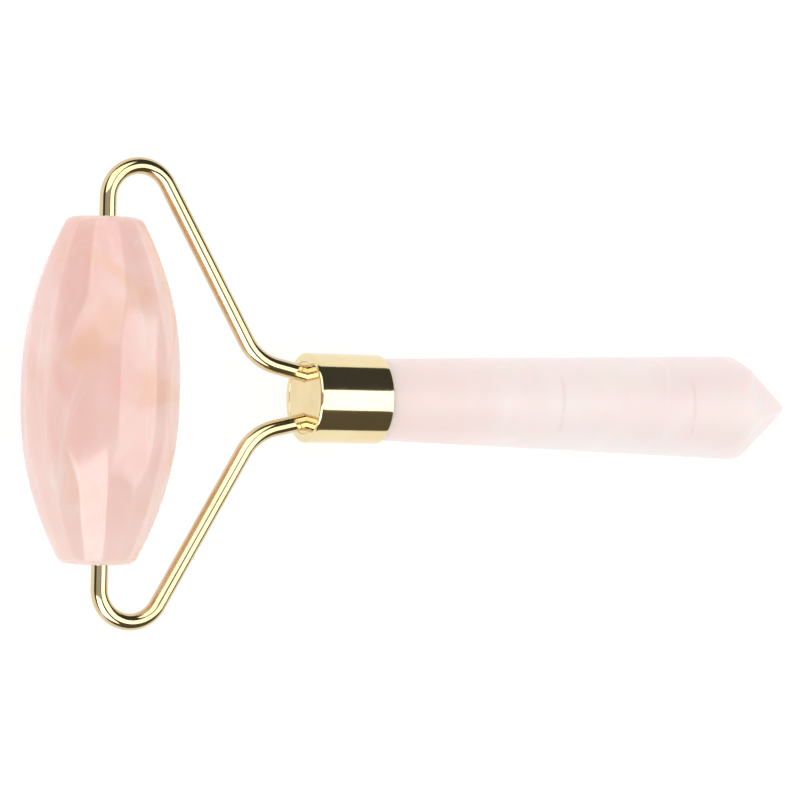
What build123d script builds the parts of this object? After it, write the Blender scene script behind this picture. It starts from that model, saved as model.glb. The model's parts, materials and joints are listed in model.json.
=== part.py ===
from build123d import *
import os
from math import asin, atan2, cos, degrees, hypot, pi, radians, sin, sqrt, tan

# Face roller with a stone barrel, a bent-wire yoke, a polished ferrule and a pointed stone handle.
# Millimetres. Each piece is made in the tool's own axes: the origin at the roller's centre, +Y along
# the axle, +X from the roller to the handle's point. The tool is then laid on a table at z = 0.

# Roller: a barrel cut with three rows of facets
ROLLER_LENGTH = 56.4
ROLLER_RADIUS = 13.25
BARREL_RADIUS = 58.5
ROLLER_CORNER = 2.4
RESTING_FLAT = 12.8
HAND_CUT_DEPTH = 0.3
HAND_CUT_WAVES = 7.56
HAND_CUT_TURN = 1.3
HAND_CUT_STEP = 2.4
END_RELIEF = 0.3
BORE_OFFSET = 0.5

# Rows of facets: side of the roller, facets round the row, turn from the resting facet in degrees
UPPER_ROW = (1, 12, 13.2)
LOWER_ROW = (-1, 16, -0.75)

# Middle row: facets round it, their distance from the middle line and the radius they follow along it
MIDDLE_COUNT = 17
MIDDLE_CREST = 12.9
MIDDLE_CURVE = 95.0

# Wire yoke
WIRE_RADIUS = 1.4
STUB_DEPTH = 9.3
OUTER_BEND_START = 31.8
OUTER_BEND_RADIUS = 5.45
OUTER_BEND_ANGLE = 150.0
INNER_BEND_RADIUS = 8.6
LEG_SLOPE = 13.0
LEG_SPREAD = 4.0
U_BEND_RADIUS = 3.4
WIRE_HOLE_GAP = 0.03
STUB_CHAMFER = 0.3

# Sleeves that line the roller's holes
BUSH_RADIUS = 2.3
BUSH_LENGTH = 10.5
BUSH_FLOOR = 1.0
RUNNING_GAP = 0.05
BUSH_GLUE_GAP = 0.01

# The roller can slide 0.5 mm either way along the axle and rests this far towards +Y
ROLLER_SLIDE = 0.4

# Ferrule, a tube with its front lip rolled in round a disc; the lip is FERRULE_FACE from the axle
FERRULE_FACE = 35.35
FERRULE_LENGTH = 13.4
FERRULE_RADIUS = 7.52
FERRULE_WALL = 0.75
FERRULE_LIP_THICKNESS = 0.9
FERRULE_LIP_RADIUS = 6.05
FERRULE_FRONT_ROUND = 0.5
FERRULE_REAR_ROUND = 0.25
DISC_RADIUS = 6.03
DISC_RECESS = 0.06
SOLDER_DEPTH = 2.6

# Handle
SPIGOT_LENGTH = 5.8
SPIGOT_RADIUS = 6.55
HANDLE_START_RADIUS = 6.85
SHOULDER_RADIUS = 9.05
SHOULDER_FROM_FACE = 81.3
POINT_LENGTH = 11.9
POINT_FACETS = 6
POINT_TURN = 15.0

# Worked out from the sizes above
HALF_LENGTH = ROLLER_LENGTH / 2
FERRULE_END = FERRULE_FACE + FERRULE_LENGTH
LIP_BACK = FERRULE_FACE + FERRULE_LIP_THICKNESS
TUBE_BORE = FERRULE_RADIUS - FERRULE_WALL
SPIGOT_START = FERRULE_END - SPIGOT_LENGTH
SHOULDER = FERRULE_FACE + SHOULDER_FROM_FACE
POINT_TIP = SHOULDER + POINT_LENGTH
FAR = 40.0


def barrel(y):
    """Mean radius of the roller at distance y from its middle."""
    return ROLLER_RADIUS - BARREL_RADIUS + sqrt(BARREL_RADIUS**2 - y**2)


def facet_share(count):
    """How far a flat lies inside the mean radius when count flats go round."""
    return sqrt(cos(pi / count))


def middle_line(y, depth):
    """Distance of a middle facet from the middle line at distance y from the roller's middle."""
    return MIDDLE_CREST - depth - MIDDLE_CURVE + sqrt(MIDDLE_CURVE**2 - y**2)


def hand_cut_depth(index, count):
    """How much deeper a middle facet is cut, so that no two neighbours are alike."""
    return HAND_CUT_DEPTH * (1 - cos(2 * pi * HAND_CUT_WAVES * index / count)) / 2


def hand_cut_turn(index, count):
    """Direction of a facet of a row, with a small error that differs from one to the next."""
    return 360 / count * index + HAND_CUT_TURN * sin(HAND_CUT_STEP * index)


def facet_direction(turn):
    """Direction round the axle, counted from straight down."""
    angle = radians(turn - 90)
    return Vector(cos(angle), 0, sin(angle))


def facet_cutter(line, far_corners, turn):
    """Everything outside one long facet: its line along the axle, closed round the outside."""
    outward = facet_direction(turn)
    across = Plane(origin=(0, 0, 0), x_dir=outward, z_dir=outward.cross(Vector(0, 1, 0)))
    outline = Curve() + [line, Polyline(line @ 1, *far_corners, line @ 0)]
    return extrude(across * make_face(outline), amount=FAR / 2, both=True)


def row_cutter(side, count, turn):
    """Cutter for one facet of the upper (+1) or lower (-1) row, which leaves the other side whole."""
    share = facet_share(count)
    middle, end = HALF_LENGTH / 2, HALF_LENGTH + 1
    start = (barrel(0) * share, 0)
    line = ThreePointArc(start, (barrel(middle) * share, side * middle), (barrel(end) * share, side * end))
    far_corners = [(FAR, side * end), (FAR, -side * FAR), (start[0] + FAR / 4, -side * FAR)]
    return facet_cutter(line, far_corners, turn)


def middle_cutter(depth, turn):
    """Cutter for one facet of the middle row."""
    end = HALF_LENGTH + 1
    reach = middle_line(end, depth)
    line = ThreePointArc((reach, -end), (middle_line(0, depth), 0), (reach, end))
    return facet_cutter(line, [(FAR, end), (FAR, -end)], turn)


def resting_cutter():
    """Cutter for the small flat that the roller rests on."""
    down = facet_direction(0)
    flat = Plane(origin=down * RESTING_FLAT, z_dir=down)
    return flat * Box(FAR * 2, FAR * 2, FAR, align=(Align.CENTER, Align.CENTER, Align.MIN))


def roller_cutters():
    cutters = [resting_cutter()]
    for index in range(MIDDLE_COUNT):
        depth = hand_cut_depth(index, MIDDLE_COUNT)
        cutters.append(middle_cutter(depth, hand_cut_turn(index, MIDDLE_COUNT)))
    for side, count, offset in (LOWER_ROW, UPPER_ROW):
        for index in range(count):
            cutters.append(row_cutter(side, count, offset + hand_cut_turn(index, count)))
    return cutters


def roller_stone():
    """Faceted barrel with rounded ends; its two blind holes are drilled slightly off its middle line."""
    ridge = 1 / facet_share(UPPER_ROW[1])
    end_radius = barrel(HALF_LENGTH) * ridge
    profile = Curve() + [
        Polyline((0, -HALF_LENGTH), (end_radius, -HALF_LENGTH)),
        ThreePointArc((end_radius, -HALF_LENGTH), (ROLLER_RADIUS * ridge, 0), (end_radius, HALF_LENGTH)),
        Polyline((end_radius, HALF_LENGTH), (0, HALF_LENGTH), (0, -HALF_LENGTH)),
    ]
    section = make_face(profile)
    corners = [v for v in section.vertices() if v.X > end_radius / 2]
    section = fillet(corners, ROLLER_CORNER)
    stone = revolve(section, Axis.Y)
    for cutter in roller_cutters():
        stone -= cutter
    stone = Pos(-BORE_OFFSET, 0, 0) * stone
    hole_depth = BUSH_LENGTH + END_RELIEF
    for side in (1, -1):
        mouth = Plane(origin=(0, side * HALF_LENGTH, 0), z_dir=(0, -side, 0))
        stone -= mouth * Cylinder(BUSH_RADIUS, hole_depth, align=(Align.CENTER, Align.CENTER, Align.MIN))
    return stone


def bush(side):
    """Closed-end sleeve, glued in one end of the roller and open to the outside."""
    open_end = HALF_LENGTH - END_RELIEF
    floor_end = open_end - BUSH_LENGTH
    seat = Plane(origin=(0, side * floor_end, 0), z_dir=(0, side, 0))
    base = (Align.CENTER, Align.CENTER, Align.MIN)
    body = Cylinder(BUSH_RADIUS - BUSH_GLUE_GAP, BUSH_LENGTH, align=base)
    hollow = Cylinder(WIRE_RADIUS + RUNNING_GAP, BUSH_LENGTH, align=base)
    return seat * (body - Pos(0, 0, BUSH_FLOOR) * hollow)


def heading(angle):
    """Unit direction in the yoke's plane, angle in degrees from +X."""
    return Vector(cos(radians(angle)), sin(radians(angle)))


def yoke_side():
    """Middle line of the +Y half of the yoke, from the stub's end to the start of the U-bend."""
    stub = Line((0, HALF_LENGTH - STUB_DEPTH), (0, OUTER_BEND_START))
    outer = JernArc(start=stub @ 1, tangent=stub % 1, radius=OUTER_BEND_RADIUS, arc_size=-OUTER_BEND_ANGLE)
    arm_angle = 90 - OUTER_BEND_ANGLE
    inner_angle = -LEG_SLOPE - arm_angle
    arm_heading, leg_heading = heading(arm_angle), heading(-LEG_SLOPE)
    at_face = Vector(FERRULE_FACE, LEG_SPREAD)
    gap = at_face - outer @ 1
    arm_to_corner = (gap.X * leg_heading.Y - gap.Y * leg_heading.X) / (
        arm_heading.X * leg_heading.Y - arm_heading.Y * leg_heading.X
    )
    cut_back = INNER_BEND_RADIUS * tan(radians(inner_angle / 2))
    arm = Line(outer @ 1, outer @ 1 + arm_heading * (arm_to_corner - cut_back))
    inner = JernArc(start=arm @ 1, tangent=arm_heading, radius=INNER_BEND_RADIUS, arc_size=inner_angle)
    leg_end_y = U_BEND_RADIUS * cos(radians(LEG_SLOPE))
    leg_end_x = FERRULE_FACE + (LEG_SPREAD - leg_end_y) / tan(radians(LEG_SLOPE))
    leg = Line(inner @ 1, (leg_end_x, leg_end_y))
    return [stub, outer, arm, inner, leg]


def yoke_path():
    side = yoke_side()
    leg = side[-1]
    u_bend = JernArc(
        start=leg @ 1, tangent=heading(-LEG_SLOPE), radius=U_BEND_RADIUS, arc_size=2 * LEG_SLOPE - 180
    )
    half = Curve() + side
    return (half + u_bend + mirror(half, about=Plane.XZ)).wire()


def yoke_wire():
    """One length of round wire: stub axles, arms and the U-bend inside the ferrule."""
    path = yoke_path()
    start = Plane(origin=(0, HALF_LENGTH - STUB_DEPTH, 0), z_dir=(0, 1, 0))
    wire = sweep(start * Circle(WIRE_RADIUS), path=path)
    ends = wire.faces().filter_by(Axis.Y).edges()
    return chamfer(ends, STUB_CHAMFER)


def leg_rod(side, radius):
    """Straight rod along one leg of the yoke where it passes the ferrule's face."""
    slope = Vector(cos(radians(LEG_SLOPE)), -side * sin(radians(LEG_SLOPE)), 0)
    return Plane(origin=(FERRULE_FACE, side * LEG_SPREAD, 0), z_dir=slope) * Cylinder(radius, 6)


def turned(points, corners=()):
    """Solid of revolution about the handle's axis from an (x, radius) outline with rounded corners."""
    section = make_face(Polyline(*points, close=True))
    for corner, radius in corners:
        near = section.vertices().sort_by_distance(Vector(*corner))[0]
        section = fillet(near, radius)
    return revolve(section, Axis.X)


def ferrule_tube():
    """Drawn tube, open at the rear, with its front edge rolled in to a narrow flat lip."""
    outline = [
        (FERRULE_FACE, FERRULE_LIP_RADIUS),
        (FERRULE_FACE, FERRULE_RADIUS),
        (FERRULE_END, FERRULE_RADIUS),
        (FERRULE_END, TUBE_BORE),
        (LIP_BACK, TUBE_BORE),
        (LIP_BACK, FERRULE_LIP_RADIUS),
    ]
    return turned(outline, [(outline[1], FERRULE_FRONT_ROUND), (outline[2], FERRULE_REAR_ROUND)])


def ferrule_disc():
    """Flat disc inside the lip, with two slanted holes for the wire."""
    front = FERRULE_FACE + DISC_RECESS
    disc = turned([(front, 0), (front, DISC_RADIUS), (LIP_BACK, DISC_RADIUS), (LIP_BACK, 0)])
    for side in (1, -1):
        disc -= leg_rod(side, WIRE_RADIUS + WIRE_HOLE_GAP)
    return disc


def yoke_solder():
    """Pool of solder behind the disc and the lip, round both legs of the wire."""
    end = LIP_BACK + SOLDER_DEPTH
    pool = turned([(LIP_BACK, 0), (LIP_BACK, TUBE_BORE), (end, TUBE_BORE), (end, 0)])
    return pool - yoke_wire()


def handle_epoxy():
    """Glue from the solder pool to the spigot, and the thin bond line round the spigot."""
    start = LIP_BACK + SOLDER_DEPTH
    fill = turned(
        [
            (start, 0),
            (start, TUBE_BORE),
            (FERRULE_END, TUBE_BORE),
            (FERRULE_END, SPIGOT_RADIUS),
            (SPIGOT_START, SPIGOT_RADIUS),
            (SPIGOT_START, 0),
        ]
    )
    return fill - yoke_wire()


def handle_stone():
    """Round tapered grip with a turned-down spigot and a faceted point."""
    grip = turned(
        [
            (SPIGOT_START, 0),
            (SPIGOT_START, SPIGOT_RADIUS),
            (FERRULE_END, SPIGOT_RADIUS),
            (FERRULE_END, HANDLE_START_RADIUS),
            (SHOULDER, SHOULDER_RADIUS),
            (POINT_TIP, SHOULDER_RADIUS),
            (POINT_TIP, 0),
        ]
    )
    for index in range(POINT_FACETS):
        turn = radians(360 / POINT_FACETS * index + POINT_TURN)
        outward = Vector(SHOULDER_RADIUS, POINT_LENGTH * cos(turn), POINT_LENGTH * sin(turn))
        facet = Plane(origin=(POINT_TIP, 0, 0), z_dir=outward)
        grip -= facet * Box(FAR * 2, FAR * 2, FAR, align=(Align.CENTER, Align.CENTER, Align.MIN))
    return grip


def resting_tilt():
    """How far the handle dips, in degrees, when the roller's facet and the shoulder both touch the table."""
    lowest = POINT_TIP - POINT_LENGTH * cos(radians(POINT_TURN))
    reach = hypot(lowest, SHOULDER_RADIUS)
    return degrees(asin(RESTING_FLAT / reach) - atan2(SHOULDER_RADIUS, lowest))


def main():
    turning = {
        "roller_stone": roller_stone(),
        "upper_bush": bush(1),
        "lower_bush": bush(-1),
    }
    held = {
        "yoke_wire": yoke_wire(),
        "ferrule_tube": ferrule_tube(),
        "ferrule_disc": ferrule_disc(),
        "yoke_solder": yoke_solder(),
        "handle_epoxy": handle_epoxy(),
        "handle_stone": handle_stone(),
    }
    slide = Pos(0, ROLLER_SLIDE, 0)
    dip = Rot(0, resting_tilt(), 0)
    pieces = {name: slide * piece for name, piece in turning.items()}
    pieces |= {name: dip * piece for name, piece in held.items()}
    boxes = [piece.bounding_box() for piece in pieces.values()]
    middle_x = (min(box.min.X for box in boxes) + max(box.max.X for box in boxes)) / 2
    on_table = Pos(-middle_x, 0, RESTING_FLAT)
    os.makedirs("parts", exist_ok=True)
    for name, piece in pieces.items():
        export_step(on_table * piece, f"parts/{name}.step")
    print(f"tilt {resting_tilt():.4f} degrees, axle at x = {-middle_x:.4f}, z = {RESTING_FLAT}")


main()
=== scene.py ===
import json
import math

import bmesh
import bpy
import numpy as np
from mathutils import Matrix, Vector

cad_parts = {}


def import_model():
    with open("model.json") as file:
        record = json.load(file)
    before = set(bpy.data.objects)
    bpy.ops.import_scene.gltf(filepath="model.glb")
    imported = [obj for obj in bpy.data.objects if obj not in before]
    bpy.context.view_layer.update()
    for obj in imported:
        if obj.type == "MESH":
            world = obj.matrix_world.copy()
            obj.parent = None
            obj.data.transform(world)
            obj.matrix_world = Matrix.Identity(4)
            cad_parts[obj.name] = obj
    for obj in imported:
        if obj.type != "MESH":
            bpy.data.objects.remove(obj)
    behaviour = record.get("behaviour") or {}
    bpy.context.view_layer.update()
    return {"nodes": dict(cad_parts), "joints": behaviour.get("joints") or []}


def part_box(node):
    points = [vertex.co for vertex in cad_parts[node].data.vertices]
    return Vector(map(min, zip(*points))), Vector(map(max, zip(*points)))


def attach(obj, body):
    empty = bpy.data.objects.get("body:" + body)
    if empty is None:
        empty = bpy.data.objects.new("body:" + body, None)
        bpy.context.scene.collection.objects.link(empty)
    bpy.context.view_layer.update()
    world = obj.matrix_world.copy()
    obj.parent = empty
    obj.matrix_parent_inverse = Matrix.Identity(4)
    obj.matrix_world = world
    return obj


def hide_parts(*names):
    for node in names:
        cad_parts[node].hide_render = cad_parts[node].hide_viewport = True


# Face roller: rose-quartz barrel and handle, polished gold-tone wire yoke and ferrule.
# Lengths are metres and angles are degrees. The tool's own axes have their origin at the middle of
# the axle: +X towards the handle's point, +Y along the axle. In the frame's axes the tool lies on
# the floor at z = 0.

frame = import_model()

MM = 0.001

# Roller
ROLLER_RADIUS = 13.25 * MM
BARREL_RADIUS = 58.5 * MM
ROLLER_CORNER = 2.4 * MM
RESTING_FLAT = 12.8 * MM
HAND_CUT_DEPTH = 0.3 * MM
HAND_CUT_WAVES = 7.56
HAND_CUT_TURN = 1.3
HAND_CUT_STEP = 2.4
UPPER_ROW = (1, 12, 13.2)
LOWER_ROW = (-1, 16, -0.75)
MIDDLE_COUNT = 17
MIDDLE_CREST = 12.9 * MM
MIDDLE_CURVE = 95.0 * MM
ROW_EDGE_SLOPE = 0.25
HOLE_RADIUS = 2.3 * MM
HOLE_DEPTH = 10.8 * MM
BORE_OFFSET = 0.5 * MM
HOLE_LIP = 0.22 * MM
ROLLER_EDGE_SOFTNESS = 0.085 * MM
MILKY_START = 8.0 * MM
MILKY_END = 24.0 * MM

# Yoke
WIRE_RADIUS = 1.4 * MM
STUB_DEPTH = 9.3 * MM
OUTER_BEND_START = 31.8 * MM
OUTER_BEND_RADIUS = 5.45 * MM
OUTER_BEND_ANGLE = 150.0
INNER_BEND_RADIUS = 8.6 * MM
LEG_SLOPE = 13.0
LEG_SPREAD = 4.0 * MM
U_BEND_RADIUS = 3.4 * MM
WIRE_HOLE_GAP = 0.03 * MM
STUB_ROUND = 0.3 * MM
HOLE_CUTTER_REACH = 3 * MM

# Ferrule
FERRULE_FACE = 35.35 * MM
FERRULE_LENGTH = 13.4 * MM
FERRULE_RADIUS = 7.52 * MM
FERRULE_WALL = 0.75 * MM
FERRULE_LIP_THICKNESS = 0.9 * MM
FERRULE_LIP_RADIUS = 6.05 * MM
FERRULE_FRONT_ROUND = 0.5 * MM
FERRULE_REAR_ROUND = 0.25 * MM
DISC_RADIUS = 6.03 * MM
DISC_RECESS = 0.06 * MM
SMALL_ROUND = 0.1 * MM

# Handle
SPIGOT_LENGTH = 5.8 * MM
SPIGOT_RADIUS = 6.55 * MM
HANDLE_START_RADIUS = 6.85 * MM
SHOULDER_RADIUS = 9.05 * MM
SHOULDER_FROM_FACE = 81.3 * MM
POINT_LENGTH = 11.9 * MM
POINT_FACETS = 6
POINT_TURN = 15.0
POINT_EDGE_POWER = 26
SHOULDER_SOFTNESS = 0.22 * MM
TIP_ROUND = 0.8 * MM
SPIGOT_ROUND = 0.3 * MM
HANDLE_START_ROUND = 0.12 * MM
DEEPER_COLOUR_LENGTH = 30 * MM
CRACKS = (45.0 * MM, 70.2 * MM)
CRACK_WANDER = 0.7 * MM
CRACK_HALF_WIDTH = 0.5 * MM
CRACK_REACH = (3.5 * MM, 5.5 * MM)

# Camera
CAMERA_LEAN = 25.0
CAMERA_ROLL = 1.35
CAMERA_DISTANCE = 0.6075
CAMERA_LENS = 162.0
AIM_FROM_FACE = 17.8 * MM
AIM_SIDE = 0.0 * MM

# Surroundings: light on matt surfaces, then the room that reflections see towards -Y and +Y
SKY = 0.92
ROOM_FRONT = (0.10, 0.088, 0.06)
ROOM_BACK = (0.045, 0.045, 0.042)
ROOM_CHANGE = (-0.55, 0.25)
FLOOR_HALF_SIZE = 6.0
FLOOR_SHADE = 0.28
FLOOR_GLOW = 0.785

FERRULE_END = FERRULE_FACE + FERRULE_LENGTH
LIP_BACK = FERRULE_FACE + FERRULE_LIP_THICKNESS
SHOULDER = FERRULE_FACE + SHOULDER_FROM_FACE
POINT_TIP = SHOULDER + POINT_LENGTH

axle = Vector(frame["joints"][0]["pos_m"])
roller_low, roller_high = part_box("roller_stone")
half_length = (roller_high.y - roller_low.y) / 2
roller_middle = Vector((axle.x, (roller_high.y + roller_low.y) / 2, axle.z))


def tool_matrix():
    """From the tool's own axes to the row frame: the handle dips from the axle to the ferrule."""
    low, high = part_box("ferrule_tube")
    along = (low + high) / 2 - axle
    dip = math.atan2(-along.z, along.x)
    return Matrix.Translation(axle) @ Matrix.Rotation(dip, 4, "Y")


tool = tool_matrix()


# ---------------------------------------------------------------- mesh building


def mesh_object(name, points, faces, place=Matrix.Identity(4)):
    mesh = bpy.data.meshes.new(name)
    mesh.from_pydata([tuple(p) for p in points], [], faces)
    mesh.transform(place)
    mesh.validate()
    mesh.polygons.foreach_set("use_smooth", [True] * len(mesh.polygons))
    mesh.update()
    piece = bpy.data.objects.new(name, mesh)
    bpy.context.scene.collection.objects.link(piece)
    return piece


def ring_faces(rings, around, closed=False):
    """Quads between neighbouring rings of points; closed joins the last ring to the first."""
    faces = []
    for ring in range(rings if closed else rings - 1):
        here, there = ring * around, (ring + 1) % rings * around
        for k in range(around):
            n = (k + 1) % around
            faces.append((here + k, here + n, there + n, there + k))
    return faces


def capped_rings(name, rings, first_tip, last_tip, place=Matrix.Identity(4)):
    """A closed skin from a list of rings, each end closed by a fan to its tip point."""
    rings = np.asarray(rings)
    count, around = rings.shape[:2]
    points = [*rings.reshape(-1, 3), first_tip, last_tip]
    faces = ring_faces(count, around)
    first, last = count * around, count * around + 1
    base = (count - 1) * around
    for k in range(around):
        n = (k + 1) % around
        faces.append((first, n, k))
        faces.append((last, base + k, base + n))
    return mesh_object(name, points, faces, place)


def arc(centre, radius, start, end, steps):
    """Points of an arc in a plane, angles in degrees."""
    angles = np.radians(np.linspace(start, end, steps))
    return [(centre[0] + radius * math.cos(a), centre[1] + radius * math.sin(a)) for a in angles]


def soft_least(values, softness):
    """Smooth minimum over the first axis: crisp where one value is clearly least."""
    values = np.asarray(values)
    least = values.min(axis=0)
    return least - softness * np.log(np.exp((least - values) / softness).sum(axis=0))


# ---------------------------------------------------------------- roller


def barrel(y):
    return ROLLER_RADIUS - BARREL_RADIUS + np.sqrt(BARREL_RADIUS**2 - y**2)


def facet_share(count):
    return math.sqrt(math.cos(math.pi / count))


def reach(flat, turn, facet_turn):
    """Distance from the axle to a facet along each direction; far where the facet faces away."""
    share = np.cos(np.radians(turn - facet_turn))
    return np.where(share > 0.3, flat / np.maximum(share, 0.3), 1.0)


def hand_cut_turn(index, count):
    return 360 / count * index + HAND_CUT_TURN * math.sin(HAND_CUT_STEP * index)


def roller_surface(turn, y):
    """Distance from the axle to each facet at each turn (degrees from straight down) and y."""
    found = [reach(RESTING_FLAT, turn, 0)]
    for index in range(MIDDLE_COUNT):
        depth = HAND_CUT_DEPTH * (1 - math.cos(2 * math.pi * HAND_CUT_WAVES * index / MIDDLE_COUNT)) / 2
        flat = MIDDLE_CREST - depth - MIDDLE_CURVE + np.sqrt(MIDDLE_CURVE**2 - y**2)
        found.append(reach(flat, turn, hand_cut_turn(index, MIDDLE_COUNT)))
    for side, count, offset in (LOWER_ROW, UPPER_ROW):
        share = facet_share(count)
        outside = np.maximum(-side * y, 0) * ROW_EDGE_SLOPE
        flat = barrel(np.maximum(side * y, 0)) * share + outside
        for index in range(count):
            found.append(reach(flat, turn, offset + hand_cut_turn(index, count)))
    return found


def roller_corner():
    """Centre and end angle of the rounded corner between the barrel's outline and its flat end."""
    ridge = 1 / facet_share(UPPER_ROW[1])
    belly = ROLLER_RADIUS * ridge
    end = barrel(half_length) * ridge
    outline_radius = (half_length**2 + (belly - end) ** 2) / (2 * (belly - end))
    centre_y = half_length - ROLLER_CORNER
    inner = outline_radius - ROLLER_CORNER
    centre_x = belly - outline_radius + math.sqrt(inner**2 - centre_y**2)
    return (centre_x, centre_y), math.degrees(math.asin(centre_y / inner)), outline_radius, belly


def roller_outline():
    """(radius, y) down one half of the roller's section, from the hole's floor to its middle."""
    floor = half_length - HOLE_DEPTH
    corner, corner_end, outline_radius, belly = roller_corner()
    lip = arc((HOLE_RADIUS + HOLE_LIP, half_length - HOLE_LIP), HOLE_LIP, 180, 90, 5)
    outline = [(HOLE_RADIUS * share, floor) for share in (0.3, 0.7, 1.0)]
    outline += [(HOLE_RADIUS, floor + (half_length - HOLE_LIP - floor) * s) for s in (0.3, 0.65)]
    outline += lip
    flat_start = HOLE_RADIUS + HOLE_LIP
    outline += [(flat_start + (corner[0] - flat_start) * s, half_length) for s in (0.3, 0.6, 0.85)]
    outline += arc(corner, ROLLER_CORNER, 90, corner_end, 14)
    start_y = outline[-1][1]
    for y in np.linspace(start_y, 0, 78)[1:]:
        outline.append((belly - outline_radius + math.sqrt(outline_radius**2 - y**2), y))
    return outline


def build_roller():
    around = 432
    turn = np.linspace(0, 360, around, endpoint=False)
    angle = np.radians(turn - 90)
    half = roller_outline()
    full = half + [(r, -y) for r, y in half[-2::-1]]
    rings = []
    for limit, y in full:
        if limit < HOLE_RADIUS * 1.6:
            radius = np.full(around, limit)
            shift = 0.0
        else:
            facets = roller_surface(turn, np.full(around, y))
            outline = np.full(around, limit + ROLLER_EDGE_SOFTNESS)
            radius = soft_least([*facets, outline], ROLLER_EDGE_SOFTNESS)
            radius = np.minimum(radius, limit)
            shift = -BORE_OFFSET
        rings.append(
            np.stack([radius * np.cos(angle) + shift, np.full(around, y), radius * np.sin(angle)], axis=1)
        )
    floor = half_length - HOLE_DEPTH
    place = Matrix.Translation(roller_middle)
    return capped_rings("roller_rose_quartz", rings, (0, floor, 0), (0, -floor, 0), place)


# ---------------------------------------------------------------- yoke


def heading(angle):
    return np.array([math.cos(math.radians(angle)), math.sin(math.radians(angle))])


def swept_arc(start, angle, radius, turn, steps):
    """Points and headings of an arc that leaves start at angle (degrees) and turns by turn."""
    side = 1 if turn > 0 else -1
    centre = start + side * radius * heading(angle + 90)
    stations = []
    for step in range(1, steps + 1):
        now = angle + turn * step / steps
        stations.append((centre - side * radius * heading(now + 90), now))
    return stations


def yoke_half():
    """Stations (point, heading) of the +Y half, from the stub's end to the start of the U-bend."""
    stations = [(np.array([0.0, half_length - STUB_DEPTH]), 90.0)]
    bend_start = np.array([0.0, OUTER_BEND_START])
    stations += [(stations[0][0] + (bend_start - stations[0][0]) * s, 90.0) for s in (0.5, 1.0)]
    stations += swept_arc(bend_start, 90.0, OUTER_BEND_RADIUS, -OUTER_BEND_ANGLE, 50)
    arm_start, arm_angle = stations[-1]
    leg_angle = -LEG_SLOPE
    gap = np.array([FERRULE_FACE, LEG_SPREAD]) - arm_start
    arm, leg = heading(arm_angle), heading(leg_angle)
    to_corner = (gap[0] * leg[1] - gap[1] * leg[0]) / (arm[0] * leg[1] - arm[1] * leg[0])
    cut_back = INNER_BEND_RADIUS * math.tan(math.radians((leg_angle - arm_angle) / 2))
    run = to_corner - cut_back
    stations += [(arm_start + arm * run * s / 8, arm_angle) for s in range(1, 9)]
    stations += swept_arc(stations[-1][0], arm_angle, INNER_BEND_RADIUS, leg_angle - arm_angle, 24)
    leg_end_y = U_BEND_RADIUS * math.cos(math.radians(LEG_SLOPE))
    leg_end_x = FERRULE_FACE + (LEG_SPREAD - leg_end_y) / math.tan(math.radians(LEG_SLOPE))
    leg_end, leg_start = np.array([leg_end_x, leg_end_y]), stations[-1][0]
    stations += [(leg_start + (leg_end - leg_start) * s / 4, leg_angle) for s in range(1, 5)]
    return stations


def build_yoke():
    around = 40
    half = yoke_half()
    u_bend = swept_arc(half[-1][0], -LEG_SLOPE, U_BEND_RADIUS, 2 * LEG_SLOPE - 180, 40)
    other = [(np.array([p[0], -p[1]]), 180 - h) for p, h in half[::-1]]
    stations = [(p, h, WIRE_RADIUS) for p, h in half + u_bend[:-1] + other]
    stations = rounded_ends(stations)
    angles = np.linspace(0, 2 * math.pi, around, endpoint=False)
    rings = []
    for point, angle, radius in stations:
        side = heading(angle + 90)
        offset = radius * np.cos(angles)
        flat = point + offset[:, None] * side
        rings.append(np.column_stack([flat, radius * np.sin(angles)]))
    first, last = stations[0][0], stations[-1][0]
    return capped_rings("yoke_gold_wire", rings, (*first, 0), (*last, 0), tool)


def rounded_ends(stations):
    """Adds small rounded edges where the wire was cut."""
    def end(point, angle, outward):
        rounds = []
        for lean in (90, 67.5, 45, 22.5):
            inset = STUB_ROUND * (1 - math.cos(math.radians(lean)))
            back = STUB_ROUND * (1 - math.sin(math.radians(lean)))
            rounds.append((point - outward * back * heading(angle), angle, WIRE_RADIUS - inset))
        return rounds
    (p0, h0, _), (p1, h1, _) = stations[0], stations[-1]
    return end(p0, h0, -1) + stations[1:-1] + end(p1, h1, 1)[::-1]


# ---------------------------------------------------------------- ferrule


def tube_outline():
    """Closed (x, radius) outline of the tube's wall and its rolled-in lip."""
    inner = FERRULE_RADIUS - FERRULE_WALL
    front = (FERRULE_FACE + FERRULE_FRONT_ROUND, FERRULE_RADIUS - FERRULE_FRONT_ROUND)
    rear = (FERRULE_END - FERRULE_REAR_ROUND, FERRULE_RADIUS - FERRULE_REAR_ROUND)
    lip = (FERRULE_FACE + SMALL_ROUND, FERRULE_LIP_RADIUS + SMALL_ROUND)
    outline = arc(lip, SMALL_ROUND, 270, 180, 6)
    outline += [(FERRULE_FACE, lip[1] + (front[1] - lip[1]) * s) for s in (0.1, 0.5, 0.9)]
    outline += arc(front, FERRULE_FRONT_ROUND, 180, 90, 13)
    outline += [(front[0] + (rear[0] - front[0]) * s, FERRULE_RADIUS) for s in (0.04, 0.5, 0.96)]
    outline += arc(rear, FERRULE_REAR_ROUND, 90, 0, 8)
    outline += [(FERRULE_END, inner), (LIP_BACK, inner), (LIP_BACK, FERRULE_LIP_RADIUS)]
    return outline


def disc_outline():
    """(x, radius) outline of the disc, from the middle of its front to the middle of its back."""
    front = FERRULE_FACE + DISC_RECESS
    edge = (front + SMALL_ROUND, DISC_RADIUS - SMALL_ROUND)
    outline = [(front, edge[1] * s) for s in (0.02, 0.5, 0.97)]
    outline += arc(edge, SMALL_ROUND, 180, 90, 6)
    return outline + [(LIP_BACK, DISC_RADIUS), (LIP_BACK, DISC_RADIUS * 0.02)]


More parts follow.
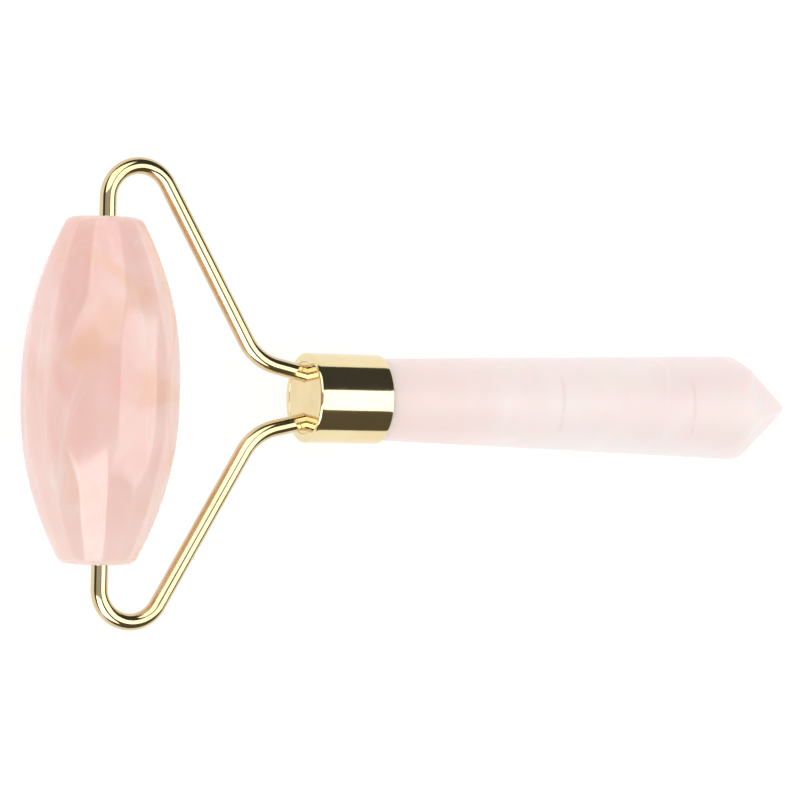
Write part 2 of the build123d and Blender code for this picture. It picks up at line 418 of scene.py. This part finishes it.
def turned_rings(outline, around=160):
    """One ring about the X axis for each (x, radius)."""
    angles = np.linspace(0, 2 * math.pi, around, endpoint=False)
    rings = []
    for x, radius in outline:
        rings.append(np.column_stack([np.full(around, x), radius * np.cos(angles), radius * np.sin(angles)]))
    return rings


def hole_cutter(name, side):
    """Cutter for one of the disc's slanted wire holes."""
    slope = heading(-side * LEG_SLOPE)
    middle = np.array([FERRULE_FACE, side * LEG_SPREAD])
    radius = WIRE_RADIUS + WIRE_HOLE_GAP
    angles = np.linspace(0, 2 * math.pi, 48, endpoint=False)
    across = heading(-side * LEG_SLOPE + 90)
    ends = [middle + along * slope for along in (-HOLE_CUTTER_REACH, HOLE_CUTTER_REACH)]
    rings = []
    for end in ends:
        flat = end + (radius * np.cos(angles))[:, None] * across
        rings.append(np.column_stack([flat, radius * np.sin(angles)]))
    return capped_rings(name, rings, (*ends[0], 0), (*ends[1], 0), tool)


def fix_normals(piece):
    skin = bmesh.new()
    skin.from_mesh(piece.data)
    bmesh.ops.recalc_face_normals(skin, faces=skin.faces)
    skin.to_mesh(piece.data)
    skin.free()


def cut(piece, cutters):
    """Cuts closed meshes out of a piece for good and removes them."""
    for cutter in cutters:
        fix_normals(cutter)
        change = piece.modifiers.new("cut", "BOOLEAN")
        change.operation, change.solver, change.object = "DIFFERENCE", "EXACT", cutter
        depsgraph = bpy.context.evaluated_depsgraph_get()
        mesh = bpy.data.meshes.new_from_object(piece.evaluated_get(depsgraph))
        piece.modifiers.clear()
        piece.data = mesh
        bpy.data.objects.remove(cutter)


def build_tube():
    rings = np.asarray(turned_rings(tube_outline()))
    faces = ring_faces(*rings.shape[:2], closed=True)
    tube = mesh_object("ferrule_gold_tube", rings.reshape(-1, 3), faces, tool)
    tube.data.set_sharp_from_angle(angle=math.radians(35))
    return tube


def build_disc():
    outline = disc_outline()
    ends = (outline[0][0], 0, 0), (outline[-1][0], 0, 0)
    disc = capped_rings("ferrule_gold_disc", turned_rings(outline), *ends, tool)
    fix_normals(disc)
    cut(disc, [hole_cutter("upper_hole", 1), hole_cutter("lower_hole", -1)])
    disc.data.set_sharp_from_angle(angle=math.radians(35))
    return disc


# ---------------------------------------------------------------- handle


def point_surface(turn, x):
    """Radius of the faceted point at each turn (degrees from +Y) for one x."""
    flat = SHOULDER_RADIUS * (POINT_TIP - x) / POINT_LENGTH
    total = 0
    for index in range(POINT_FACETS):
        share = np.cos(np.radians(turn - 360 / POINT_FACETS * index - POINT_TURN))
        total = total + (np.maximum(share, 0.0) / flat) ** POINT_EDGE_POWER
    return total ** (-1 / POINT_EDGE_POWER)


def handle_outline():
    """(x, radius) of the round shaft from the spigot's end to the tip."""
    start = FERRULE_END - SPIGOT_LENGTH
    edge = SPIGOT_ROUND
    lip = HANDLE_START_ROUND
    outline = [(start, (SPIGOT_RADIUS - edge) * s) for s in (0.3, 0.75)]
    outline += arc((start + edge, SPIGOT_RADIUS - edge), edge, 180, 90, 6)
    outline += [(start + (FERRULE_END - start) * s, SPIGOT_RADIUS) for s in (0.5, 0.97)]
    outline += [(FERRULE_END, SPIGOT_RADIUS)]
    outline += arc((FERRULE_END + lip, HANDLE_START_RADIUS - lip), lip, 180, 92, 4)
    for s in np.linspace(0, 1, 60)[1:]:
        x = FERRULE_END + (SHOULDER - FERRULE_END) * s
        outline.append((x, shaft_radius(x)))
    return outline


def shaft_radius(x):
    share = (x - FERRULE_END) / (SHOULDER - FERRULE_END)
    return HANDLE_START_RADIUS + (SHOULDER_RADIUS - HANDLE_START_RADIUS) * share


def build_handle():
    around = 288
    turn = np.linspace(0, 360, around, endpoint=False)
    stations = handle_outline()
    tip_slope = math.atan2(SHOULDER_RADIUS, POINT_LENGTH)
    tip_centre = POINT_TIP - TIP_ROUND / math.sin(tip_slope)
    last = tip_centre + TIP_ROUND * 0.995
    stations += [(SHOULDER + (last - SHOULDER) * s, SHOULDER_RADIUS) for s in np.linspace(0, 1, 70)[1:]]
    rings = []
    for x, limit in stations:
        radius = np.full(around, limit)
        if x > FERRULE_END + POINT_LENGTH:
            radius = soft_least([radius, point_surface(turn, x)], SHOULDER_SOFTNESS)
        if x > tip_centre:
            cap = math.sqrt(max(TIP_ROUND**2 - (x - tip_centre) ** 2, 0))
            radius = np.minimum(radius, cap)
        angle = np.radians(turn)
        rings.append(np.column_stack([np.full(around, x), radius * np.cos(angle), radius * np.sin(angle)]))
    start = stations[0][0]
    return capped_rings("handle_rose_quartz", rings, (start, 0, 0), (tip_centre + TIP_ROUND, 0, 0), tool)


# ---------------------------------------------------------------- materials


def srgb(red, green, blue):
    """Linear colour from 0 to 255 display values."""
    linear = []
    for value in (red / 255, green / 255, blue / 255):
        linear.append(value / 12.92 if value <= 0.04045 else ((value + 0.055) / 1.055) ** 2.4)
    return (*linear, 1.0)


class Nodes:
    """Small helper that adds and joins a material's nodes."""

    def __init__(self, name):
        self.material = bpy.data.materials.new(name)
        self.material.use_nodes = True
        self.tree = self.material.node_tree
        self.shader = self.tree.nodes["Principled BSDF"]

    def add(self, kind, links=None, **values):
        node = self.tree.nodes.new(kind)
        for key, value in values.items():
            if hasattr(node, key):
                setattr(node, key, value)
            else:
                node.inputs[key.replace("_", " ").title()].default_value = value
        for socket, source in (links or {}).items():
            self.tree.links.new(source, node.inputs[socket])
        return node

    def place(self):
        return self.add("ShaderNodeTexCoord").outputs["Object"]

    def mapped(self, scale=(1, 1, 1), turn=(0, 0, 0), offset=(0, 0, 0)):
        node = self.add("ShaderNodeMapping", {"Vector": self.place()})
        node.inputs["Scale"].default_value = scale
        node.inputs["Rotation"].default_value = [math.radians(t) for t in turn]
        node.inputs["Location"].default_value = offset
        return node.outputs["Vector"]

    def noise(self, vector, scale, detail=3.0, roughness=0.5, distortion=0.0):
        node = self.add("ShaderNodeTexNoise", {"Vector": vector})
        node.inputs["Scale"].default_value = scale
        node.inputs["Detail"].default_value = detail
        node.inputs["Roughness"].default_value = roughness
        node.inputs["Distortion"].default_value = distortion
        return node.outputs["Fac"]

    def ramp(self, value, stops):
        node = self.add("ShaderNodeValToRGB", {"Fac": value})
        ramp = node.color_ramp
        ramp.interpolation = "EASE"
        while len(ramp.elements) < len(stops):
            ramp.elements.new(0.5)
        for element, (position, colour) in zip(ramp.elements, stops):
            element.position = position
            element.color = colour if hasattr(colour, "__len__") else (colour,) * 3 + (1.0,)
        return node.outputs["Color"]

    def mix(self, share, one, two):
        node = self.add("ShaderNodeMix", data_type="RGBA")
        for socket, value in ((0, share), (6, one), (7, two)):
            if isinstance(value, bpy.types.NodeSocket):
                self.tree.links.new(value, node.inputs[socket])
            else:
                node.inputs[socket].default_value = value
        return node.outputs[2]

    def range(self, value, low, high, start=0.0, end=1.0):
        """Goes from low to high while value goes from start to end, and stays there outside."""
        node = self.add("ShaderNodeMapRange", {"Value": value})
        node.inputs["From Min"].default_value = start
        node.inputs["From Max"].default_value = end
        node.inputs["To Min"].default_value = low
        node.inputs["To Max"].default_value = high
        return node.outputs["Result"]

    def along(self, axis):
        """The piece's own X, Y or Z coordinate."""
        return self.add("ShaderNodeSeparateXYZ", {"Vector": self.place()}).outputs[axis]

    def bump(self, height, distance, strength=1.0, below=None):
        links = {"Height": height}
        if below is not None:
            links["Normal"] = below
        node = self.add("ShaderNodeBump", links)
        node.inputs["Strength"].default_value = strength
        node.inputs["Distance"].default_value = distance
        return node.outputs["Normal"]

    def math(self, operation, *values):
        node = self.add("ShaderNodeMath", operation=operation)
        for socket, value in zip(node.inputs, values):
            if isinstance(value, bpy.types.NodeSocket):
                self.tree.links.new(value, socket)
            else:
                socket.default_value = value
        return node.outputs[0]

    def sum(self, one, two, three):
        return self.math("ADD", self.math("ADD", one, two), three)

    def size(self, value):
        return self.math("ABSOLUTE", value)

    def product(self, one, two):
        return self.math("MULTIPLY", one, two)

    def feed(self, socket, source):
        self.tree.links.new(source, self.shader.inputs[socket])

    def set(self, **values):
        for key, value in values.items():
            self.shader.inputs[key.replace("_", " ")].default_value = value


def rose_quartz(name, colours, cloud_scale, veil_share, polish, seed):
    """Milky quartz: clouds of pink and warm white, wispy veils, light scattering inside."""
    main, rosy, warm, pale = colours
    n = Nodes(name)
    clouds = n.noise(n.mapped(offset=(seed, 0, 0)), cloud_scale, detail=3, distortion=0.8)
    turned = n.mapped(offset=(0, seed, 0), turn=(0, 0, 25))
    patches = n.noise(turned, cloud_scale * 1.6, detail=4, distortion=0.5)
    streaks = n.mapped(scale=(1, 0.28, 1), turn=(18, 0, -32), offset=(0, 0, seed))
    wisps = n.noise(streaks, cloud_scale * 3.2, detail=5, roughness=0.55, distortion=1.4)
    colour = n.mix(n.ramp(clouds, [(0.36, 0.0), (0.66, 1.0)]), main, rosy)
    colour = n.mix(n.ramp(patches, [(0.5, 0.0), (0.7, 0.9)]), colour, warm)
    colour = n.mix(n.ramp(wisps, [(0.5, 0.0), (0.74, veil_share)]), colour, pale)
    n.feed("Roughness", n.range(n.noise(n.place(), 900, detail=4), *polish))
    waves = n.bump(n.noise(n.place(), 120, detail=1), 0.00012, 0.5)
    n.feed("Normal", n.bump(n.noise(n.place(), 1500, detail=3), 0.00001, 0.25, below=waves))
    n.set(IOR=1.544, Subsurface_Weight=1.0, Subsurface_Scale=0.003, Subsurface_Radius=(1.0, 0.62, 0.55))
    return n, colour


def roller_quartz():
    """Rose quartz that is milkier towards one end of the roller."""
    n, colour = rose_quartz("rose_quartz", blush, 55, 0.45, (0.1, 0.18), 0.31)
    middle = roller_middle.y
    milky = n.range(n.along("Y"), 0.0, 0.5, middle - MILKY_START, middle - MILKY_END)
    n.feed("Base Color", n.mix(milky, colour, srgb(249, 229, 222)))
    return n.material


def handle_quartz():
    """Paler quartz, a little deeper by the ferrule, with two healed cracks across it."""
    n, colour = rose_quartz("pale_rose_quartz", pale_blush, 40, 0.4, (0.28, 0.4), 0.77)
    along = n.along("X")
    ferrule_end = axle.x + FERRULE_END
    near = n.range(along, 0.9, 0.0, ferrule_end, ferrule_end + DEEPER_COLOUR_LENGTH)
    colour = n.mix(near, colour, srgb(246, 224, 219))
    wander = n.range(n.noise(n.place(), 60, detail=2), -CRACK_WANDER, CRACK_WANDER)
    inside = n.range(n.size(n.along("Y")), 1.0, 0.0, *CRACK_REACH)
    broken = n.product(inside, n.ramp(n.noise(n.place(), 260, detail=2), [(0.3, 0.0), (0.55, 0.36)]))
    for distance in CRACKS:
        shifted = n.sum(along, wander, -(axle.x + FERRULE_FACE + distance))
        line = n.range(n.size(shifted), 1.0, 0.0, 0.0, CRACK_HALF_WIDTH)
        colour = n.mix(n.product(line, broken), colour, srgb(232, 202, 196))
    n.feed("Base Color", colour)
    n.set(Specular_IOR_Level=0.3)
    return n.material


def polished_gold(name, colour, deep, stretch):
    """Gold-tone electroplate over polished brass, with faint buffing lines and haze."""
    n = Nodes(name)
    depth = n.ramp(n.noise(n.place(), 160, detail=3), [(0.35, 0.0), (0.75, 1.0)])
    n.feed("Base Color", n.mix(depth, colour, deep))
    lines = n.noise(n.mapped(scale=stretch), 900, detail=3, roughness=0.6)
    n.feed("Roughness", n.range(lines, 0.05, 0.14))
    n.feed("Normal", n.bump(lines, 0.000004, 0.3))
    n.set(Metallic=1.0)
    return n.material


def nylon():
    n = Nodes("nylon")
    tones = [(0.3, srgb(222, 220, 212)), (0.7, srgb(236, 234, 228))]
    shade = n.ramp(n.noise(n.place(), 700, detail=3), tones)
    n.feed("Base Color", shade)
    n.feed("Roughness", n.range(n.noise(n.place(), 1400, detail=3), 0.35, 0.5))
    n.feed("Normal", n.bump(n.noise(n.place(), 2500, detail=2), 0.00001, 0.3))
    return n.material


def solder():
    n = Nodes("solder")
    tones = [(0.3, srgb(150, 150, 152)), (0.7, srgb(196, 196, 198))]
    shade = n.ramp(n.noise(n.place(), 600, detail=5), tones)
    n.feed("Base Color", shade)
    n.feed("Roughness", n.range(n.noise(n.place(), 1200, detail=4), 0.3, 0.55))
    n.feed("Normal", n.bump(n.noise(n.place(), 900, detail=3), 0.00004, 0.5))
    n.set(Metallic=1.0)
    return n.material


def epoxy():
    n = Nodes("cured_epoxy")
    tones = [(0.3, srgb(222, 205, 165)), (0.7, srgb(238, 226, 196))]
    shade = n.ramp(n.noise(n.place(), 300, detail=3), tones)
    n.feed("Base Color", shade)
    n.feed("Roughness", n.range(n.noise(n.place(), 1000, detail=3), 0.15, 0.3))
    n.set(Subsurface_Weight=0.4, Subsurface_Scale=0.001)
    return n.material


def wear(piece, material):
    piece.data.materials.clear()
    piece.data.materials.append(material)


# ---------------------------------------------------------------- studio


def floor():
    size = FLOOR_HALF_SIZE
    points = [(x * size, y * size, 0) for x, y in ((-1, -1), (1, -1), (1, 1), (-1, 1))]
    table = mesh_object("floor", points, [(0, 1, 2, 3)])
    n = Nodes("white_table")
    n.set(Base_Color=(FLOOR_SHADE, FLOOR_SHADE, FLOOR_SHADE, 1), Roughness=0.9, Specular_IOR_Level=0.0)
    n.shader.inputs["Emission Color"].default_value = (1, 1, 1, 1)
    n.shader.inputs["Emission Strength"].default_value = FLOOR_GLOW
    wear(table, n.material)


def softbox(name, away, distance, width, height, strength, target, up, diffuse):
    """A rectangular light that faces target, seen by matt surfaces only or by reflections only."""
    light = bpy.data.lights.new(name, "AREA")
    light.shape, light.size, light.size_y = "RECTANGLE", width, height
    light.energy = strength * width * height * math.pi
    lamp = bpy.data.objects.new(name, light)
    back = Vector(away).normalized()
    above = (up - back * up.dot(back)).normalized()
    turn = Matrix((above.cross(back), above, back)).transposed().to_4x4()
    lamp.matrix_world = Matrix.Translation(target + back * distance) @ turn
    lamp.visible_diffuse, lamp.visible_glossy = diffuse, not diffuse
    bpy.context.scene.collection.objects.link(lamp)


def camera_axes():
    """The camera's right, up and backward directions in the row frame."""
    lean = math.radians(CAMERA_LEAN)
    turned = tool.to_3x3()
    back = turned @ Vector((-math.sin(lean), 0, math.cos(lean)))
    right = turned @ Vector((math.cos(lean), 0, math.sin(lean)))
    roll = Matrix.Rotation(math.radians(CAMERA_ROLL), 3, back)
    return roll @ right, roll @ Vector((0, 1, 0)), back


def camera():
    right, up, back = camera_axes()
    data = bpy.data.cameras.new("camera")
    data.lens, data.sensor_width = CAMERA_LENS, 36.0
    data.clip_start, data.clip_end = 0.01, 20
    eye = bpy.data.objects.new("camera", data)
    aim = tool @ Vector((FERRULE_FACE + AIM_FROM_FACE, AIM_SIDE, 0))
    turn = Matrix((right, up, back)).transposed().to_4x4()
    eye.matrix_world = Matrix.Translation(aim + back * CAMERA_DISTANCE) @ turn
    bpy.context.scene.collection.objects.link(eye)
    bpy.context.scene.camera = eye


def world():
    """Even white light on matt surfaces, and a dim room in reflections: grey behind, brown in front."""
    scene_world = bpy.data.worlds.new("studio")
    bpy.context.scene.world = scene_world
    scene_world.use_nodes = True
    tree = scene_world.node_tree
    tree.nodes.clear()
    path = tree.nodes.new("ShaderNodeLightPath")
    white = tree.nodes.new("ShaderNodeBackground")
    white.inputs["Color"].default_value = (1, 1, 1, 1)
    white.inputs["Strength"].default_value = SKY
    place = tree.nodes.new("ShaderNodeTexCoord")
    split = tree.nodes.new("ShaderNodeSeparateXYZ")
    across = tree.nodes.new("ShaderNodeMapRange")
    across.inputs["From Min"].default_value = ROOM_CHANGE[0]
    across.inputs["From Max"].default_value = ROOM_CHANGE[1]
    ramp = tree.nodes.new("ShaderNodeValToRGB")
    ramp.color_ramp.elements[0].color = (*ROOM_FRONT, 1)
    ramp.color_ramp.elements[1].color = (*ROOM_BACK, 1)
    room = tree.nodes.new("ShaderNodeBackground")
    mix = tree.nodes.new("ShaderNodeMixShader")
    out = tree.nodes.new("ShaderNodeOutputWorld")
    tree.links.new(place.outputs["Generated"], split.inputs[0])
    tree.links.new(split.outputs["Y"], across.inputs["Value"])
    tree.links.new(across.outputs["Result"], ramp.inputs["Fac"])
    tree.links.new(ramp.outputs["Color"], room.inputs["Color"])
    tree.links.new(path.outputs["Is Glossy Ray"], mix.inputs[0])
    tree.links.new(white.outputs[0], mix.inputs[1])
    tree.links.new(room.outputs[0], mix.inputs[2])
    tree.links.new(mix.outputs[0], out.inputs[0])


def lights():
    right, up, back = camera_axes()
    target = tool @ Vector((FERRULE_FACE, 0, 0))

    def from_camera(across, above):
        a, b = math.radians(across), math.radians(above)
        return math.cos(b) * (math.cos(a) * back + math.sin(a) * right) + math.sin(b) * up

    softbox("key", from_camera(61, -4.6), 0.9, 0.96, 0.77, 2.12, target, up, False)
    softbox("far_box", from_camera(-4.5, 38), 1.1, 1.27, 0.98, 2.1, target, up, False)
    softbox("near_box", from_camera(-13, -38), 1.1, 1.03, 0.89, 3.7, target, up, False)
    softbox("grey_card", from_camera(-4.5, -1), 1.1, 1.27, 0.59, 0.4, target, up, False)
    softbox("overhead", Vector((0, 0, 1)), 1.2, 1.0, 1.0, 0.35, target, up, True)


def view_settings():
    settings = bpy.context.scene.view_settings
    settings.view_transform, settings.look = "Standard", "None"
    settings.exposure, settings.gamma = 0.0, 1.0


# ---------------------------------------------------------------- assembly

blush = (srgb(245, 213, 205), srgb(240, 199, 190), srgb(240, 200, 178), srgb(251, 232, 226))
pale_blush = (srgb(253, 236, 234), srgb(250, 229, 227), srgb(251, 233, 228), srgb(254, 243, 242))

roller = build_roller()
wear(roller, roller_quartz())
handle = build_handle()
wear(handle, handle_quartz())
yoke = build_yoke()
# The wire wears the ferrule's gold with painted shade: its colours are darkened so the wire comes out
# dimmer.
wear(yoke, polished_gold("gold_wire", srgb(221, 202, 160), srgb(212, 191, 143), (1, 1, 1)))
tube = build_tube()
disc = build_disc()
wear(tube, polished_gold("gold_tube", srgb(239, 221, 177), srgb(234, 215, 168), (0.15, 1, 1)))
wear(disc, polished_gold("gold_disc", srgb(238, 217, 169), srgb(233, 211, 159), (0.15, 1, 1)))

pieces = (
    (roller, "roller", "roller_stone", "rose_quartz"),
    (handle, "frame", "handle_stone", "pale_rose_quartz"),
    (yoke, "frame", "yoke_wire", "gold_plated_wire"),
    (tube, "frame", "ferrule_tube", "gold_plated_ferrule"),
    (disc, "frame", "ferrule_disc", "gold_plated_ferrule"),
)
for piece, body, node, slot in pieces:
    fix_normals(piece)
    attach(piece, body)
    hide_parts(node)

nylon_material = nylon()
for node in ("upper_bush", "lower_bush"):
    wear(frame["nodes"][node], nylon_material)
wear(frame["nodes"]["yoke_solder"], solder())
wear(frame["nodes"]["handle_epoxy"], epoxy())

floor()
lights()
world()
camera()
view_settings()
